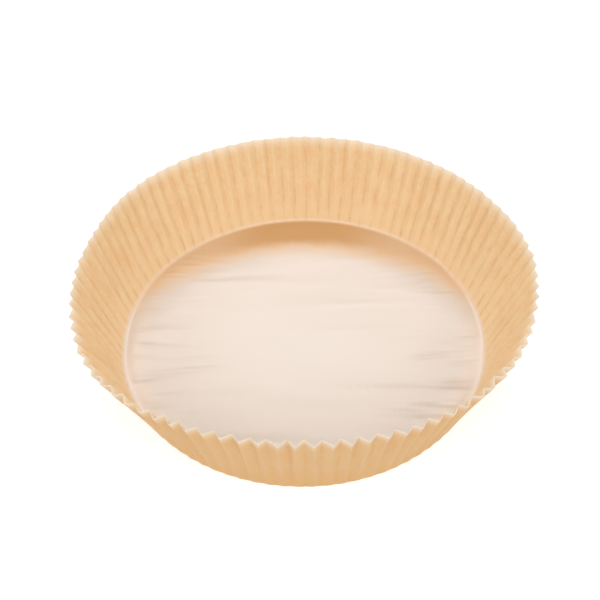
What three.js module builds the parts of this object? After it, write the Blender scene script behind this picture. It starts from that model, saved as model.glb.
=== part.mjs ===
// A round fluted baking-paper liner for an air fryer basket: one sheet of paper pressed
// into a shallow flared cup. Millimetres, +Z up. The origin is the middle of the
// underside, and the floor of the cup rests on the plane z = 0.
//
// The cup starts as a flat round blank. The floor stays flat, and the paper that the wall
// has too much of is taken up by sharp zigzag flutes. Their depth isn't chosen: at every
// height it is what keeps the panel between two folds as wide as it was on the blank.

import * as THREE from "three";

// Driving dimensions
const RIM_RADIUS = 100; // over the outer folds at the rim
const FOOT_RADIUS = 85; // where the lines of the wall and of the floor would meet
const WALL_HEIGHT = 44; // height of the outer folds' tips above the underside
const BEND_RADIUS = 2.5; // outside radius between the floor and the wall
const PAPER = 0.06; // thickness of the paper
const FLUTES = 92; // outer folds around the wall, with an inner fold between each two

// How finely the curves are divided
const BEND_STEPS = 4;
const WALL_STEPS = 5;

const PAPER_COLOUR = "#e9be8c";
const PAPER_ROUGHNESS = 0.85;

// The outside profile: floor, bend and straight wall. The wall leans out by FLARE.
const FLARE = Math.atan2(RIM_RADIUS - FOOT_RADIUS, WALL_HEIGHT);
const BEND_ANGLE = Math.PI / 2 - FLARE;
const FLOOR_RADIUS = FOOT_RADIUS - BEND_RADIUS * Math.tan(BEND_ANGLE / 2);

// A row is a circle of the outside profile: its radius and height, how far the profile
// has turned up from the floor, and the radius that the same line had on the flat blank.
function row(radius, height, turn, blankRadius) {
  return { radius, height, turn, blankRadius };
}

function profileRows() {
  const rows = [];
  for (let i = 0; i <= BEND_STEPS; i++) {
    const turn = BEND_ANGLE * i / BEND_STEPS;
    const radius = FLOOR_RADIUS + BEND_RADIUS * Math.sin(turn);
    const height = BEND_RADIUS * (1 - Math.cos(turn));
    rows.push(row(radius, height, turn, FLOOR_RADIUS + BEND_RADIUS * turn));
  }
  const low = rows[BEND_STEPS];
  const wallLength = Math.hypot(RIM_RADIUS - low.radius, WALL_HEIGHT - low.height);
  for (let i = 1; i <= WALL_STEPS; i++) {
    const share = i / WALL_STEPS;
    const radius = THREE.MathUtils.lerp(low.radius, RIM_RADIUS, share);
    const height = THREE.MathUtils.lerp(low.height, WALL_HEIGHT, share);
    rows.push(row(radius, height, BEND_ANGLE, low.blankRadius + wallLength * share));
  }
  return rows;
}

const FOLDS = 2 * FLUTES;

// Depth of the flutes at a row, square to the profile. A panel joins an outer fold to an
// inner fold half a flute further round and this much further in, and its width has to be
// the chord between the same two lines on the blank, which gives a quadratic for the depth.
const CHORD_FACTOR = 2 * (1 - Math.cos(2 * Math.PI / FOLDS));

function fluteDepth({ radius, turn, blankRadius }) {
  const lean = CHORD_FACTOR * radius * Math.sin(turn) / 2;
  const spare = CHORD_FACTOR * (blankRadius ** 2 - radius ** 2);
  return lean + Math.sqrt(lean ** 2 + spare);
}

// One ring of points, a fold at each: outer folds on the even places, inner folds on the
// odd ones. inset is the distance of the ring's skin from the outside one, square to the
// profile.
function ringPoints(row, inset) {
  const depth = fluteDepth(row);
  const points = [];
  for (let i = 0; i < FOLDS; i++) {
    const inward = inset + (i % 2 ? depth : 0);
    const radius = row.radius - inward * Math.sin(row.turn);
    const height = row.height + inward * Math.cos(row.turn);
    const angle = 2 * Math.PI * i / FOLDS;
    points.push(new THREE.Vector3(radius * Math.cos(angle), radius * Math.sin(angle), height));
  }
  return points;
}

// The paper is measured across its slanted panels, so square to the profile it takes up
// more: the panel's width over the width that it covers.
function paperInset(row) {
  const innerRadius = row.radius - fluteDepth(row) * Math.sin(row.turn);
  return PAPER * row.blankRadius / Math.sqrt(row.radius * innerRadius);
}

// Panel i between two rings, as two triangles that face outwards where the upper ring is
// the second. Each is divided from its outer fold below to its inner fold above, so that
// the flutes are symmetric and the paper's two skins stay parallel.
function panelFaces(lower, upper, i) {
  const next = (i + 1) % FOLDS;
  const [a, b, c, d] = [lower + i, lower + next, upper + next, upper + i];
  return i % 2 ? [[a, b, d], [b, c, d]] : [[a, b, c], [a, c, d]];
}

function turnedOver(faces) {
  return faces.map(([a, b, c]) => [a, c, b]);
}

// The closed sheet: the outside skin, the inside skin, the cut edge that joins them at the
// rim, and a disc in the middle of each.
function linerGeometry() {
  const rows = profileRows();
  const outside = rows.map((row) => ringPoints(row, 0));
  const inside = rows.map((row) => ringPoints(row, paperInset(row)));
  const underside = new THREE.Vector3(0, 0, 0);
  const floor = new THREE.Vector3(0, 0, PAPER);
  const points = [...outside.flat(), ...inside.flat(), underside, floor];

  const insideStart = outside.length * FOLDS;
  const rimStart = insideStart - FOLDS;
  const undersideMiddle = points.indexOf(underside);
  const floorMiddle = points.indexOf(floor);
  const faces = [];
  for (let i = 0; i < FOLDS; i++) {
    const next = (i + 1) % FOLDS;
    for (let lower = 0; lower < rimStart; lower += FOLDS) {
      faces.push(...panelFaces(lower, lower + FOLDS, i));
      const inner = insideStart + lower;
      faces.push(...turnedOver(panelFaces(inner, inner + FOLDS, i)));
    }
    faces.push(...panelFaces(rimStart, insideStart + rimStart, i));
    faces.push([undersideMiddle, next, i]);
    faces.push([floorMiddle, insideStart + i, insideStart + next]);
  }

  const geometry = new THREE.BufferGeometry().setFromPoints(points);
  geometry.setIndex(faces.flat());
  geometry.computeVertexNormals();
  return geometry;
}

const paper = new THREE.MeshStandardMaterial({
  color: PAPER_COLOUR,
  roughness: PAPER_ROUGHNESS,
  metalness: 0,
  flatShading: true,
});

const liner = new THREE.Mesh(linerGeometry(), paper);
liner.name = "paper_liner";

const object = new THREE.Group();
object.name = "air_fryer_paper_liner";
object.add(liner);

export default object;
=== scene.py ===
"""A fluted baking-paper liner, standing on a plain white floor. Metres, +Z up.

The paper is one thin closed sheet, finer than the frame's solid: its folds are rounded and
uneven, its rim isn't quite a circle, and its floor has the small wrinkles of the press.
"""

import math

import bpy
import numpy as np
from mathutils import Matrix, Vector


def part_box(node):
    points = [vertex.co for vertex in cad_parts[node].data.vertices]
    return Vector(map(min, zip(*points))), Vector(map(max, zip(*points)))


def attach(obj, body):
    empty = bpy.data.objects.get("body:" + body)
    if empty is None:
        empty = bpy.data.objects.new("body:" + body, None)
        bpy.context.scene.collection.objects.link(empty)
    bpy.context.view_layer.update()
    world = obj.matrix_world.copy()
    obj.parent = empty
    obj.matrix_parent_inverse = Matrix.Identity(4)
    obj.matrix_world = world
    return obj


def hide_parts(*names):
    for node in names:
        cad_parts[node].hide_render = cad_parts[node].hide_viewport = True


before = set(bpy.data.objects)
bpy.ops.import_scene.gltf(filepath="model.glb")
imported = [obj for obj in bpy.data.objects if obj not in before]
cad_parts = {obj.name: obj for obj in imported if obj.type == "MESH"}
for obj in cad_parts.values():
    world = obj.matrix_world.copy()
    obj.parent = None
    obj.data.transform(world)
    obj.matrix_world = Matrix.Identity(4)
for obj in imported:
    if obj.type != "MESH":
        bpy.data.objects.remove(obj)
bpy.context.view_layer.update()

# Sizes of the liner, the same as the solid's
LOWEST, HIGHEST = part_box("paper_liner")
RIM_RADIUS = (HIGHEST.x - LOWEST.x) / 2
FOOT_RADIUS = 0.085
WALL_HEIGHT = 0.044
BEND_RADIUS = 0.0025
PAPER = 0.00006
FLUTES = 92
FOLDS = 2 * FLUTES
FOLD_ANGLE = 2 * math.pi / FOLDS
IS_OUTER_FOLD = np.arange(FOLDS) % 2 == 0

# Rows of points along the profile. A spread below 1 brings the floor's rows nearer its edge.
FLOOR_ROWS = 34
FLOOR_SPREAD = 0.8
BEND_ROWS = 6
WALL_ROWS = 22

# An edge whose faces turn less than this is shown smooth
SMOOTH_UP_TO = math.radians(75)

# All that is random comes from this seed
SEED = 7

# Where the folds are: how far they sway from even steps, most at the rim, and how far they
# drift aside at half the wall's height
FIRST_FOLD = math.radians(1.78)
FOLD_SWAY = math.radians(0.20)
FOOT_SWAY_SHARE = 0.4
FOLD_DRIFT = math.radians(0.16)

# One flute is wider than the others, and more so towards the rim: the folds on both sides of
# its middle are pushed away from it, and the edge says how sharply the push changes sides
WIDE_FLUTE_AT = math.radians(-20)
WIDE_FLUTE_REACH = math.radians(4.5)
WIDE_FLUTE_PUSH = math.radians(0.85)
WIDE_FLUTE_EDGE = 4
WIDE_FLUTE_RISE = 0.3

# How far the folds fall short of the flutes' whole depth, as shares of it. The inner folds
# are looser in stretches, which follow a noise around the liner, held between two limits.
OUTER_SLACK = 0.06
INNER_SLACK = 0.12
LOOSE_STRETCH = 0.24
LOOSE_WAVES = 11
LOOSE_LIMITS = (-1, 2)

# How the folds are rounded, as a share of a panel's width, and how far the panels bow, as a
# share of the flutes' depth. The ridge's shape says how much a fold's three points and the
# middle of the panel beside it belong to the fold.
FOLD_ROUNDING_RIM = 0.08
FOLD_ROUNDING_FOOT = 0.24
PANEL_BOW = 0.035
RIDGE_SHAPE = (0.65, 1.0, 0.65, 0.0)

# How uneven the rim's height is, and how fast this and the rim's leans grow up the wall
RIM_UNEVEN = 0.00012
RIM_UNEVEN_RISE = 6
LEAN_RISE = 1.2

# How far the rim is from a circle: (waves around, along cosine, along sine)
RIM_WAVES = (
    (1, 0.0002, -0.0003),
    (2, 0.0002, 0.0),
    (3, 0.0004, -0.0009),
    (4, -0.0004, 0.0003),
    (5, 0.0003, 0.0001),
)

# The next four are bumps around the liner, each as (azimuth, reach, most). Angles are in
# degrees, azimuths start at the photograph's right side, and the camera is at -90. A bump
# falls to about a third of its most at its reach.

# Where the flutes are deeper or flatter, as a share added to their depth
FLUTE_DEPTHS = (
    (-38, 16, 0.40),
    (-143, 20, 0.40),
    (162, 38, -0.38),
    (18, 38, -0.38),
)

# Where the wall leans out or in, as metres at the rim
RIM_LEANS = (
    (-36, 16, 0.0012),
    (-146, 14, 0.0009),
    (3, 15, 0.0012),
    (168, 14, -0.0013),
)

# Where the foot is further out or in, in metres
FOOT_LEANS = (
    (-38, 20, -0.0006),
    (-142, 20, -0.0007),
    (-2, 20, -0.0006),
    (180, 20, -0.0010),
    (-84, 26, 0.0005),
)

# Where the wall is hollow, as metres at half its height
WALL_HOLLOWS = (
    (-28, 14, -0.0017),
    (-153, 14, -0.0016),
)

# The floor's relief: a ring that is lifted beside the crease, and a slow swell of broad and
# fine waves, whose numbers are radians a metre along X and Y. It fades out at the crease.
LIFT_WIDTH = 0.013
LIFT_HEIGHT = 0.00010
SWELL_HEIGHT = 0.00018
BROAD_WAVES = (61, 83)
BROAD_PHASES = (1.0, 2.0)
FINE_WAVES = (131, -47)
FINE_SHARE = 0.5
FLAT_BESIDE_CREASE = 0.0025

# Wrinkles of the floor: how many, height, half length, half width, spread from the side
WRINKLES = (
    (140, 0.00018, 0.008, 0.0009, 0.012),
    (70, 0.00010, 0.019, 0.0022, 0.05),
    (60, 0.00008, 0.012, 0.0014, 0.06),
)

# Where the wrinkles are from front to back, as shares of the floor's radius, how far they
# stay from its edge, how their sizes vary, and how much they turn
WRINKLE_ZONE = (-0.93, 0.8)
WRINKLE_MARGIN = 0.003
WRINKLE_LENGTHS = (0.6, 1.5)
WRINKLE_WIDTHS = (0.7, 1.4)
WRINKLE_TILT = 0.07

# Camera, as the photograph was taken
IMAGE_SIZE = 600
SENSOR = 36.0
FOCAL_PIXELS = 858.0
CLIP_START = 0.01
CAMERA_DISTANCE = 0.4035
CAMERA_ELEVATION = math.radians(45.92)
AIM_ABOVE_ORIGIN = math.radians(2.25)
AIM_RIGHT_OF_ORIGIN = math.radians(-0.15)
CAMERA_ROLL = math.radians(1.22)

# Light and ground
BACK_LIGHT = dict(azimuth=90, elevation=48.4, distance=1.2, width=0.9, height=0.24, power=5.8)
FRONT_LIGHT = dict(azimuth=-90, elevation=46, distance=1.4, width=3.2, height=1.0, power=17.5)
SIDE_LIGHT = dict(elevation=32, distance=1.4, width=1.0, height=0.8, power=2.6)
WORLD_STRENGTH = 0.44
GROUND_SIZE = 2.2
GROUND_DROP = 0.00002
GROUND_LIFT = 0.57

# Colours, linear
TAN = (0.955, 0.80, 0.545)
TAN_DEEP = (0.93, 0.71, 0.43)
# painted shade: in the fold hollows, and on the floor as the far wall's painted shadow
TAN_PAINTED_SHADE = (0.81, 0.54, 0.265)
# painted highlight on the fold crests, also used to pale the low wall
TAN_CREST = (0.99, 0.85, 0.60)
# painted shade of the outer side
TAN_OUTSIDE_SHADE = (0.86, 0.57, 0.19)
TAN_FLOOR = (0.95, 0.76, 0.55)
# painted sheen of the floor's pale circle
PAINTED_SHEEN_PALE = (0.815, 0.785, 0.77)
# painted highlight along the crease and along the floor's edge
PAINTED_HIGHLIGHT_PALE = (0.95, 0.90, 0.87)
PALE_RIM = (0.98, 0.91, 0.80)
GROUND_COLOUR = (0.62, 0.61, 0.60)
WHITE = (1.0, 1.0, 1.0)

# Noises of the paper: (scale, detail, roughness). A stretch below 1 draws the marks out
# along X, Y or Z, and a range says where a noise starts and is full.
CLOUD_NOISE = (110.0, 3.0, 0.6)
SPECK_NOISE = (480.0, 3.0, 0.7)
# patches that break up the painted highlight and shade on the folds
FOLD_LIGHT_NOISE = (300.0, 2.0, 0.6)
BLOTCH_NOISE = (90.0, 3.0, 0.6)
FIBRE_NOISE = (1400.0, 3.0, 0.6)
NOISE_MEAN = 0.5
MOTTLE_RANGE = (0.36, 0.64)
FOLD_LIGHT_RANGE = (0.3, 0.7)
FOLD_LIGHT_STRETCH = (1.0, 1.0, 0.35)
FIBRE_STRETCH = (0.25, 1.0, 0.5)

# Marks on the paper, most of them painted light or shade: (where a colour starts, where it is
# full, how strong it is there). The places are metres along the paper from the crease, above 0
# on the wall and below it on the floor.
LOW_BAND = (0.022, 0.004, 0.8)
# painted highlight along the floor's edge, inside the pale circle
FLOOR_BORDER_HIGHLIGHT = (-0.012, -0.001, 0.6)
# painted contact shadow at the foot, over a painted shade on the whole outer side
FOOT_PAINTED_SHADOW = (0.025, 0.0, 0.3)
OUTSIDE_SHADE_SHARE = 0.60

# The same for the folds, whose places are 1 on a ridge and -1 in a hollow: a painted highlight
# on the ridges and a painted shade in the hollows
CREST_HIGHLIGHT = (0.05, 1.0, 0.8)
HOLLOW_SHADE = (-0.1, -1.0, 0.6)

# Where the floor's colours, with its painted sheen and shadow, start and are full, in the same
# metres along the paper
FLOOR_EDGE = (0.0022, 0.0008)

# The crease's pale line, a painted highlight along the bend: its place, how far from there it
# starts and is full, its strength
CREASE_AT = 0.0022
CREASE_HIGHLIGHT = (0.0020, 0.0002, 0.30)

# The pale rim: how wide and how strong its band and its line are
RIM_BAND_WIDTH = 0.007
RIM_BAND_STRENGTH = 0.65
RIM_LINE_WIDTH = 0.0030
RIM_LINE_STRENGTH = 0.32

# The floor's pale circle, a painted sheen of the back lamp on top of the shader's own sheen:
# the shift that brings its middle to the origin, and how far from there its edge starts and is
# full. The tan beyond it is deeper, a painted shadow of the far wall over the lamp's own
# shadow, most of all in the middle of the far side, which is set by how far aside a point is.
SHEEN_SHIFT = (0.0, 0.039, 0.0)
SHEEN_REACH = (0.107, 0.091)
BLOTCH_SHIFT = 0.009
SHADOW_REACH = (0.100, 0.110)
SHADOW_MIDDLE = (0.055, 0.015, 0.83)
SHADOW_SIDES = 0.12

# How the paper shines and how much of the light goes through it
ROUGHNESS = 0.36
SPECULAR = 0.9
GLOW_SHARE = 0.38
FIBRE_STRENGTH = 0.25
FIBRE_HEIGHT = 0.00006


def smooth_step(low, high, value):
    """0 up to low, 1 from high on, and smooth between them."""
    share = np.clip((value - low) / (high - low), 0, 1)
    return share * share * (3 - 2 * share)


def smooth_noise(random, count, waves):
    """A closed smooth random curve around the rim, with a spread of 1."""
    angle = np.arange(count) * 2 * math.pi / count
    order = np.arange(1, waves + 1)
    weight = random.normal(size=waves)
    phase = random.uniform(0, 2 * math.pi, waves)
    curve = (weight * np.cos(np.outer(angle, order) + phase)).sum(1)
    return curve / curve.std()


def turn_between(angle, azimuth):
    """The turn from an azimuth to an angle, at most half a turn either way."""
    return (angle - azimuth + math.pi) % (2 * math.pi) - math.pi


def bumps_around(angle, bumps):
    """The sum of smooth bumps around the liner, at each angle."""
    return sum(
        most * np.exp(-((turn_between(angle, math.radians(azimuth)) / math.radians(reach)) ** 2))
        for azimuth, reach, most in bumps
    )


def rim_offset(angle):
    """How far outside its circle the rim is at each angle."""
    waves = sum(a * np.cos(n * angle) + b * np.sin(n * angle) for n, a, b in RIM_WAVES)
    return waves + bumps_around(angle, RIM_LEANS)


class Profile:
    """The outside line from the floor's edge to the rim: radius, height, the angle that it
    has turned up from the floor, and the radius that the same line had on the flat blank."""

    def __init__(self):
        flare = math.atan2(RIM_RADIUS - FOOT_RADIUS, WALL_HEIGHT)
        bend = math.pi / 2 - flare
        self.floor_radius = FOOT_RADIUS - BEND_RADIUS * math.tan(bend / 2)
        turn = np.linspace(0, bend, BEND_ROWS + 1)
        radius = self.floor_radius + BEND_RADIUS * np.sin(turn)
        height = BEND_RADIUS * (1 - np.cos(turn))
        blank = self.floor_radius + BEND_RADIUS * turn
        share = np.linspace(0, 1, WALL_ROWS + 1)[1:]
        length = math.hypot(RIM_RADIUS - radius[-1], WALL_HEIGHT - height[-1])
        self.turn = np.append(turn, np.full(WALL_ROWS, bend))
        self.radius = np.append(radius, radius[-1] + (RIM_RADIUS - radius[-1]) * share)
        self.height = np.append(height, height[-1] + (WALL_HEIGHT - height[-1]) * share)
        self.blank = np.append(blank, blank[-1] + length * share)

    def depth(self):
        """Depth of the flutes at each row, which keeps each panel as wide as on the blank."""
        chord_squared = 2 * (1 - math.cos(FOLD_ANGLE))
        half = chord_squared * self.radius * np.sin(self.turn) / 2
        return half + np.sqrt(half**2 + chord_squared * (self.blank**2 - self.radius**2))


def fold_angles(up, random):
    """Azimuth of each fold at each row."""
    sway = random.normal(size=FOLDS) * FOLD_SWAY
    drift = random.normal(size=FOLDS) * FOLD_DRIFT
    angle = FIRST_FOLD + np.arange(FOLDS) * FOLD_ANGLE
    sway_share = FOOT_SWAY_SHARE + (1 - FOOT_SWAY_SHARE) * up
    angle = angle + sway * sway_share + drift * np.sin(math.pi * up)

    beside = turn_between(angle, WIDE_FLUTE_AT) / WIDE_FLUTE_REACH
    push = WIDE_FLUTE_PUSH * np.tanh(WIDE_FLUTE_EDGE * beside) * np.exp(-(beside**2))
    return angle + push * up**WIDE_FLUTE_RISE


def fold_shares(random):
    """How deep each fold lies: 0 on the outside line, and 1 at the flutes' whole depth."""
    loose = np.abs(np.clip(smooth_noise(random, FOLDS, LOOSE_WAVES), *LOOSE_LIMITS))
    loose = loose * LOOSE_STRETCH / LOOSE_LIMITS[1]
    slack = np.abs(random.normal(size=FOLDS))
    return np.where(IS_OUTER_FOLD, slack * OUTER_SLACK, 1 - slack * INNER_SLACK - loose)


def fold_points(profile, random):
    """Where each fold crosses each row, as an array of rows, folds and coordinates."""
    up = (profile.height / WALL_HEIGHT)[:, None]
    turn = profile.turn[:, None]
    angle = fold_angles(up, random)
    share = fold_shares(random)
    inward = profile.depth()[:, None] * share * (1 + bumps_around(angle, FLUTE_DEPTHS))

    lean = rim_offset(angle) * up**LEAN_RISE
    radius = profile.radius[:, None] - inward * np.sin(turn)
    radius = radius + lean + bumps_around(angle, FOOT_LEANS) * (1 - up)
    radius = radius + bumps_around(angle, WALL_HOLLOWS) * np.sin(math.pi * up)

    # Where the wall leans out, its rim comes down by as much as the wall's slope says
    height = profile.height[:, None] + inward * np.cos(turn)
    height = height - lean * (RIM_RADIUS - FOOT_RADIUS) / WALL_HEIGHT
    height = height + random.normal(size=FOLDS) * RIM_UNEVEN * up**RIM_UNEVEN_RISE
    return np.stack([radius * np.cos(angle), radius * np.sin(angle), height], 2)


def wall_rows(profile, random):
    """The wall's points: each fold has three, which round it, and each panel one more."""
    folds = fold_points(profile, random)
    before, after = np.roll(folds, 1, 1), np.roll(folds, -1, 1)
    up = (profile.height / WALL_HEIGHT)[:, None, None]
    round_off = FOLD_ROUNDING_FOOT + (FOLD_ROUNDING_RIM - FOLD_ROUNDING_FOOT) * np.sqrt(up)
    left = folds + (before - folds) * round_off
    right = folds + (after - folds) * round_off
    tip = (left + 2 * folds + right) / 4
    bow = random.normal(size=(1, FOLDS, 1)) * PANEL_BOW * profile.depth()[:, None, None]
    outward = folds * (1, 1, 0) / np.linalg.norm(folds[..., :2], axis=2, keepdims=True)
    middle = (folds + after) / 2 + outward * bow
    rows = np.stack([left, tip, right, middle], 2)
    return rows.reshape(len(folds), len(RIDGE_SHAPE) * FOLDS, 3)


def floor_swell(x, y):
    """The floor's slow waves, which are nowhere below 0."""
    across = np.sin(x * BROAD_WAVES[0] + BROAD_PHASES[0])
    back = np.sin(y * BROAD_WAVES[1] + BROAD_PHASES[1])
    fine = np.sin(x * FINE_WAVES[0] + y * FINE_WAVES[1])
    return SWELL_HEIGHT * (1 + FINE_SHARE + (across * back + FINE_SHARE * fine))


def wrinkle(x, y, floor_radius, random, most, half_long, half_wide, spread):
    """One short ridge or groove of the floor, which runs about from left to right."""
    side = random.choice((-1, 1))
    across = random.uniform(*WRINKLE_ZONE) * floor_radius
    reach = math.sqrt(floor_radius**2 - across**2)
    middle = side * (reach - WRINKLE_MARGIN - abs(random.normal()) * spread)
    long = half_long * random.uniform(*WRINKLE_LENGTHS)
    wide = half_wide * random.uniform(*WRINKLE_WIDTHS)
    tilt = random.normal() * WRINKLE_TILT
    height = random.normal() * most
    along = (x - middle) / long
    sideways = (y - across - tilt * (x - middle)) / wide
    return height * np.exp(-(along**2) - sideways**2)


def floor_relief(x, y, inside, floor_radius, random):
    """Height of the paper over the ground: a ring that stands up beside the crease, a slow
    swell, and short wrinkles from left to right, most of them near the sides."""
    ring = np.sin(np.clip(inside / LIFT_WIDTH, 0, 1) * math.pi) ** 2
    relief = LIFT_HEIGHT * ring + floor_swell(x, y)
    for count, *sizes in WRINKLES:
        for _ in range(count):
            relief = relief + wrinkle(x, y, floor_radius, random, *sizes)
    return np.maximum(relief, 0) * smooth_step(0, FLAT_BESIDE_CREASE, inside)


def floor_rows(edge, profile, random):
    """Rings inside the floor's edge, with the same columns as the wall, and how far each of
    their points is from that edge, as less than 0."""
    share = (np.arange(1, FLOOR_ROWS) / FLOOR_ROWS) ** FLOOR_SPREAD
    points = edge[None] * share[:, None, None]
    inside = (1 - share[:, None]) * np.linalg.norm(edge[:, :2], axis=1)
    x, y = points[..., 0], points[..., 1]
    points[..., 2] = floor_relief(x, y, inside, profile.floor_radius, random)
    return points, -inside


def inward_normals(rows, centre):
    """Unit normals of a grid of rows, on the side of the food."""
    along = np.empty_like(rows)
    along[1:-1] = rows[2:] - rows[:-2]
    along[0] = rows[1] - centre
    along[-1] = rows[-1] - rows[-2]
    around = np.roll(rows, -1, 1) - np.roll(rows, 1, 1)
    normals = np.cross(along, around)
    return normals / np.linalg.norm(normals, axis=2, keepdims=True)


def triangles(quads):
    """Two triangles for each four-cornered face, all divided the same way."""
    return np.concatenate([quads[:, (0, 1, 2)], quads[:, (0, 2, 3)]])


def sheet_faces(row_count, columns):
    """Faces of the two skins and of the cut edge between them. Each skin's points are its
    centre and then its rows. Both skins are divided alike, so that they stay parallel."""
    skin = 1 + row_count * columns
    column = np.arange(columns)
    beside = (column + 1) % columns
    outside = [np.stack([np.zeros_like(column), 1 + beside, 1 + column], 1)]
    for row in range(row_count - 1):
        low = 1 + row * columns
        high = low + columns
        quads = np.stack([low + column, low + beside, high + beside, high + column], 1)
        outside.append(triangles(quads))
    outside = np.concatenate(outside)
    inside = outside[:, ::-1] + skin
    rim = 1 + (row_count - 1) * columns
    edge = np.stack([rim + column, rim + beside, rim + skin + beside, rim + skin + column], 1)
    return np.concatenate([outside, inside, triangles(edge)]).tolist()


def sheet_mesh(name, rows, centre, floor_count):
    """A closed sheet from the rows of its outer skin, the first of which are the floor's."""
    normals = inward_normals(rows, centre)
    normals[:floor_count] = (0, 0, 1)
    inner_rows = rows + normals * PAPER
    outside = np.concatenate([[centre], rows.reshape(-1, 3)])
    inside = np.concatenate([[centre + (0, 0, PAPER)], inner_rows.reshape(-1, 3)])
    points = np.concatenate([outside, inside])
    mesh = bpy.data.meshes.new(name)
    mesh.from_pydata(points.tolist(), [], sheet_faces(len(rows), rows.shape[1]))
    mesh.shade_smooth()
    mesh.set_sharp_from_angle(angle=SMOOTH_UP_TO)
    return mesh


def fold_ridges(floor_count, wall_count):
    """For each point, 1 on a fold that stands out towards its side, -1 on one that stands
    away from it, and 0 on the floor and in the middle of a panel."""
    around = np.outer(np.where(IS_OUTER_FOLD, -1.0, 1.0), RIDGE_SHAPE).ravel()
    flat = np.zeros(1 + floor_count * len(around))
    inside = np.concatenate([flat, np.tile(around, wall_count)])
    return np.concatenate([-inside, inside])


def paper_run(profile, floor_run, columns):
    """How far along the paper each point of a skin is from the crease, less than 0 on the
    floor."""
    wall_run = np.repeat(profile.blank - profile.floor_radius, columns)
    return np.concatenate([[-profile.floor_radius], floor_run.ravel(), wall_run])


def add_values(mesh, name, values):
    """Gives each point of the mesh one value, which the material reads by its name."""
    layer = mesh.attributes.new(name, "FLOAT", "POINT")
    layer.data.foreach_set("value", values.astype(np.float32))


def make_liner():
    """The liner as one piece, with the values that its material reads."""
    random = np.random.default_rng(SEED)
    profile = Profile()
    wall = wall_rows(profile, random)
    floor, floor_run = floor_rows(wall[0], profile, random)
    rows = np.concatenate([floor, wall])
    centre = np.array([0, 0, floor[0, :, 2].mean()])
    mesh = sheet_mesh("liner", rows, centre, len(floor))

    run = paper_run(profile, floor_run, rows.shape[1])
    add_values(mesh, "run", np.tile(run, 2))
    add_values(mesh, "food_side", np.repeat([0.0, 1.0], len(run)))
    add_values(mesh, "ridge", fold_ridges(len(floor), len(wall)))
    mesh.update()

    liner = bpy.data.objects.new("liner", mesh)
    bpy.context.scene.collection.objects.link(liner)
    liner.data.materials.append(paper_material(profile.blank[-1] - profile.floor_radius))
    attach(liner, "root")
    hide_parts("paper_liner")


class Tree:
    """The node tree of a material or of the world, with one short call for each node. An
    input is a value, a colour or another node's output."""

    def __init__(self, owner):
        owner.use_nodes = True
        self.nodes = owner.node_tree.nodes
        self.links = owner.node_tree.links
        self.nodes.clear()

    def add(self, kind, inputs=None, out=0, **settings):
        """Adds a node with its inputs and settings, and gives one of its outputs."""
        node = self.nodes.new(kind)
        for key, value in settings.items():
            setattr(node, key, value)
        for key, value in (inputs or {}).items():
            socket = node.inputs[key]
            if isinstance(value, bpy.types.NodeSocket):
                self.links.new(value, socket)
            elif socket.type == "RGBA":
                socket.default_value = (*value, 1.0)
            else:
                socket.default_value = value
        return node.outputs[out]

    def math(self, operation, a, b=0.0):
        return self.add("ShaderNodeMath", {0: a, 1: b}, operation=operation)

    def plus(self, a, b):
        return self.math("ADD", a, b)

    def times(self, a, b):
        return self.math("MULTIPLY", a, b)

    def ramp(self, value, start, full):
        """0 at the start, 1 where it is full, and smooth between them."""
        inputs = {"Value": value, "From Min": start, "From Max": full}
        return self.add("ShaderNodeMapRange", inputs, interpolation_type="SMOOTHSTEP")

    def fade(self, value, start, full, strength):
        """A ramp that ends at a strength and not at 1."""
        return self.times(self.ramp(value, start, full), strength)

    def mix(self, share, under, over):
        """A colour laid over another. The colours' sockets are the mix node's last pair."""
        return self.add("ShaderNodeMix", {0: share, 6: under, 7: over}, out=2, data_type="RGBA")

    def noise(self, vector, scale, detail, roughness):
        inputs = {"Vector": vector, "Scale": scale, "Detail": detail, "Roughness": roughness}
        return self.add("ShaderNodeTexNoise", inputs)

    def attribute(self, name):
        return self.add("ShaderNodeAttribute", out="Fac", attribute_name=name)

    def finish(self, kind, surface):
        """Adds the output node and gives it the surface."""
        node = self.nodes.new(kind)
        self.links.new(surface, node.inputs["Surface"])


def paint_fibres(t, place):
    """The paper's own mottled tan."""
    cloud = t.noise(place, *CLOUD_NOISE)
    speck = t.noise(place, *SPECK_NOISE)
    mean = t.times(t.plus(cloud, speck), 0.5)
    return t.mix(t.ramp(mean, *MOTTLE_RANGE), TAN, TAN_DEEP)


def paint_low_wall(t, colour, run, food_side):
    """The food side of the wall is paler low down."""
    low = t.times(t.fade(run, *LOW_BAND), food_side)
    return t.mix(low, colour, TAN_CREST)


def paint_folds(t, colour, place, ridge):
    """A painted highlight where the folds stand out and a painted shade where they stand back,
    both in patches.
    """
    along = t.add("ShaderNodeMapping", {"Vector": place, "Scale": FOLD_LIGHT_STRETCH})
    fold_light_patches = t.ramp(t.noise(along, *FOLD_LIGHT_NOISE), *FOLD_LIGHT_RANGE)
    # painted highlight on the crests, then painted shade in the hollows
    colour = t.mix(t.times(t.fade(ridge, *CREST_HIGHLIGHT), fold_light_patches), colour, TAN_CREST)
    return t.mix(t.times(t.fade(ridge, *HOLLOW_SHADE), fold_light_patches), colour, TAN_PAINTED_SHADE)


def from_sheen_middle(t, place):
    """How far each point is from the middle of the floor's pale circle of painted sheen, a
    little blotched.
    """
    shifted = t.add("ShaderNodeVectorMath", {0: place, 1: SHEEN_SHIFT}, operation="ADD")
    flat = t.add("ShaderNodeVectorMath", {0: shifted, 1: (1, 1, 0)}, operation="MULTIPLY")
    reach = t.add("ShaderNodeVectorMath", {0: flat}, out="Value", operation="LENGTH")
    blotch = t.math("SUBTRACT", t.noise(place, *BLOTCH_NOISE), NOISE_MEAN)
    return t.plus(reach, t.times(blotch, BLOTCH_SHIFT))


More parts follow.
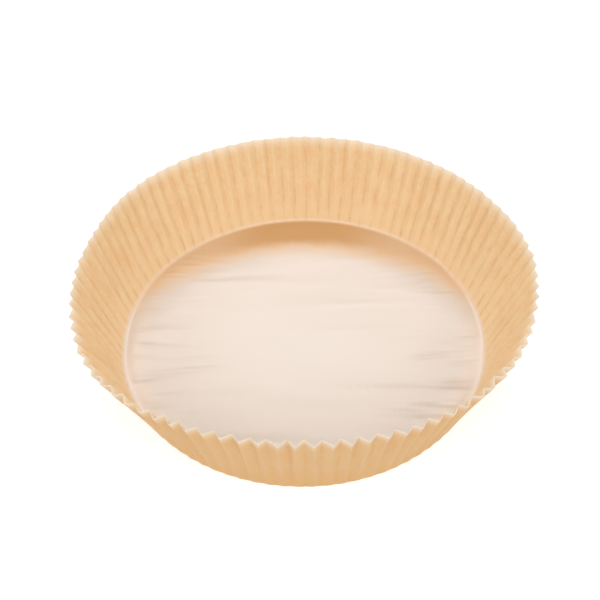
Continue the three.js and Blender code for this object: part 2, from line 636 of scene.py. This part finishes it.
def paint_floor(t, colour, place, run, food_side):
    """The food side of the floor: pale with a painted sheen in a circle that is off the middle,
    and tan beyond it with a painted shadow of the far wall. The circle has a painted
    highlight along the crease."""
    on_floor = t.times(t.ramp(run, *FLOOR_EDGE), food_side)
    colour = t.mix(on_floor, colour, TAN_FLOOR)
    reach = from_sheen_middle(t, place)
    aside = t.math("ABSOLUTE", t.add("ShaderNodeSeparateXYZ", {0: place}, out="X"))
    # painted shadow of the far wall beyond the pale circle, deepest in the middle of the far
    # side
    deep = t.times(t.ramp(reach, *SHADOW_REACH), on_floor)
    share = t.plus(t.fade(aside, *SHADOW_MIDDLE), SHADOW_SIDES)
    colour = t.mix(t.times(deep, share), colour, TAN_PAINTED_SHADE)
    # painted sheen inside the pale circle
    pale = t.times(t.ramp(reach, *SHEEN_REACH), on_floor)
    colour = t.mix(pale, colour, PAINTED_SHEEN_PALE)
    # painted highlight along the floor's edge
    return t.mix(t.times(t.fade(run, *FLOOR_BORDER_HIGHLIGHT), pale), colour, PAINTED_HIGHLIGHT_PALE)


def paint_outside_shade(t, colour, run, food_side):
    """A painted shade on the outer side, which deepens its colour, and a painted contact shadow
    that is deepest at the foot.
    """
    outside = t.math("SUBTRACT", 1.0, food_side)
    share = t.plus(t.fade(run, *FOOT_PAINTED_SHADOW), OUTSIDE_SHADE_SHARE)
    return t.mix(t.times(share, outside), colour, TAN_OUTSIDE_SHADE)


def paint_edges(t, colour, run, food_side, wall_length):
    """A painted highlight along the crease, and a pale rim."""
    from_crease = t.math("ABSOLUTE", t.math("SUBTRACT", run, CREASE_AT))
    crease = t.times(t.fade(from_crease, *CREASE_HIGHLIGHT), food_side)
    colour = t.mix(crease, colour, PAINTED_HIGHLIGHT_PALE)
    band = t.fade(run, wall_length - RIM_BAND_WIDTH, wall_length, RIM_BAND_STRENGTH)
    line = t.fade(run, wall_length - RIM_LINE_WIDTH, wall_length, RIM_LINE_STRENGTH)
    return t.mix(t.plus(band, line), colour, PALE_RIM)


def paper_material(wall_length):
    """Baking paper with painted light and shade on its folds, floor and outer side, which lets
    some of the light through.
    """
    material = bpy.data.materials.new("baking_paper")
    t = Tree(material)
    place = t.add("ShaderNodeTexCoord", out="Object")
    run = t.attribute("run")
    food_side = t.attribute("food_side")
    ridge = t.attribute("ridge")

    colour = paint_fibres(t, place)
    colour = paint_low_wall(t, colour, run, food_side)
    colour = paint_folds(t, colour, place, ridge)
    colour = paint_floor(t, colour, place, run, food_side)
    colour = paint_outside_shade(t, colour, run, food_side)
    colour = paint_edges(t, colour, run, food_side, wall_length)

    stretched = t.add("ShaderNodeMapping", {"Vector": place, "Scale": FIBRE_STRETCH})
    relief = {
        "Height": t.noise(stretched, *FIBRE_NOISE),
        "Strength": FIBRE_STRENGTH,
        "Distance": FIBRE_HEIGHT,
    }
    normal = t.add("ShaderNodeBump", relief)
    shine = {
        "Base Color": colour,
        "Roughness": ROUGHNESS,
        "Specular IOR Level": SPECULAR,
        "Normal": normal,
    }
    sheen = t.add("ShaderNodeBsdfPrincipled", shine)
    glow = t.add("ShaderNodeBsdfTranslucent", {"Color": colour, "Normal": normal})
    paper = t.add("ShaderNodeMixShader", {0: GLOW_SHARE, 1: sheen, 2: glow})
    t.finish("ShaderNodeOutputMaterial", paper)
    return material


def ground_material():
    """White paint that, for the camera, has a glow of its own: it is then as white as the
    backdrop, and darker where the liner keeps the light from it."""
    material = bpy.data.materials.new("white_floor")
    t = Tree(material)
    path = t.nodes.new("ShaderNodeLightPath")
    seen = t.math("MAXIMUM", path.outputs["Is Camera Ray"], path.outputs["Is Glossy Ray"])
    seen = t.math("MAXIMUM", seen, path.outputs["Is Transmission Ray"])
    matt = t.add("ShaderNodeBsdfDiffuse", {"Color": GROUND_COLOUR})
    lift = t.add("ShaderNodeEmission", {"Color": WHITE, "Strength": GROUND_LIFT})
    lifted = t.add("ShaderNodeAddShader", {0: matt, 1: lift})
    surface = t.add("ShaderNodeMixShader", {0: seen, 1: matt, 2: lifted})
    t.finish("ShaderNodeOutputMaterial", surface)
    return material


def white_floor():
    """A plain square of ground, just below the paper."""
    half = GROUND_SIZE / 2
    corners = [(-half, -half, 0), (half, -half, 0), (half, half, 0), (-half, half, 0)]
    mesh = bpy.data.meshes.new("ground")
    mesh.from_pydata(corners, [], [(0, 1, 2, 3)])
    mesh.materials.append(ground_material())
    ground = bpy.data.objects.new("ground", mesh)
    ground.location.z = -GROUND_DROP
    bpy.context.scene.collection.objects.link(ground)


def add_light(name, azimuth, elevation, distance, width, height, power):
    """A soft rectangular lamp that is aimed at the origin, with its angles in degrees."""
    data = bpy.data.lights.new(name, "AREA")
    data.shape = "RECTANGLE"
    data.size = width
    data.size_y = height
    data.energy = power
    light = bpy.data.objects.new(name, data)
    azimuth, elevation = math.radians(azimuth), math.radians(elevation)
    flat = math.cos(elevation)
    away = Vector((flat * math.cos(azimuth), flat * math.sin(azimuth), math.sin(elevation)))
    light.location = away * distance
    light.rotation_euler = away.to_track_quat("Z", "Y").to_euler()
    bpy.context.scene.collection.objects.link(light)


def white_world():
    """White for the camera, and a dimmer white light for everything else."""
    world = bpy.data.worlds.new("white_world")
    t = Tree(world)
    seen = t.add("ShaderNodeLightPath", out="Is Camera Ray")
    dim = t.add("ShaderNodeBackground", {"Color": WHITE, "Strength": WORLD_STRENGTH})
    white = t.add("ShaderNodeBackground", {"Color": WHITE})
    surface = t.add("ShaderNodeMixShader", {0: seen, 1: dim, 2: white})
    t.finish("ShaderNodeOutputWorld", surface)
    bpy.context.scene.world = world


def light_scene():
    """One lamp behind the liner, one in front and one on each side, in a white world."""
    add_light("back_light", **BACK_LIGHT)
    add_light("front_light", **FRONT_LIGHT)
    add_light("left_light", azimuth=180, **SIDE_LIGHT)
    add_light("right_light", azimuth=0, **SIDE_LIGHT)
    white_world()


def add_camera():
    """The camera in front of the liner, aimed a little above the origin."""
    data = bpy.data.cameras.new("camera")
    data.sensor_width = SENSOR
    data.lens = SENSOR * FOCAL_PIXELS / IMAGE_SIZE
    data.clip_start = CLIP_START
    camera = bpy.data.objects.new("camera", data)
    back = CAMERA_DISTANCE * math.cos(CAMERA_ELEVATION)
    up = CAMERA_DISTANCE * math.sin(CAMERA_ELEVATION)
    tilt = Matrix.Rotation(math.pi / 2 - CAMERA_ELEVATION + AIM_ABOVE_ORIGIN, 4, "X")
    turn = Matrix.Rotation(-AIM_RIGHT_OF_ORIGIN, 4, "Y")
    roll = Matrix.Rotation(-CAMERA_ROLL, 4, "Z")
    camera.matrix_world = Matrix.Translation((0, -back, up)) @ tilt @ turn @ roll
    bpy.context.scene.collection.objects.link(camera)
    bpy.context.scene.camera = camera


bpy.context.scene.view_settings.view_transform = "Standard"
make_liner()
white_floor()
light_scene()
add_camera()
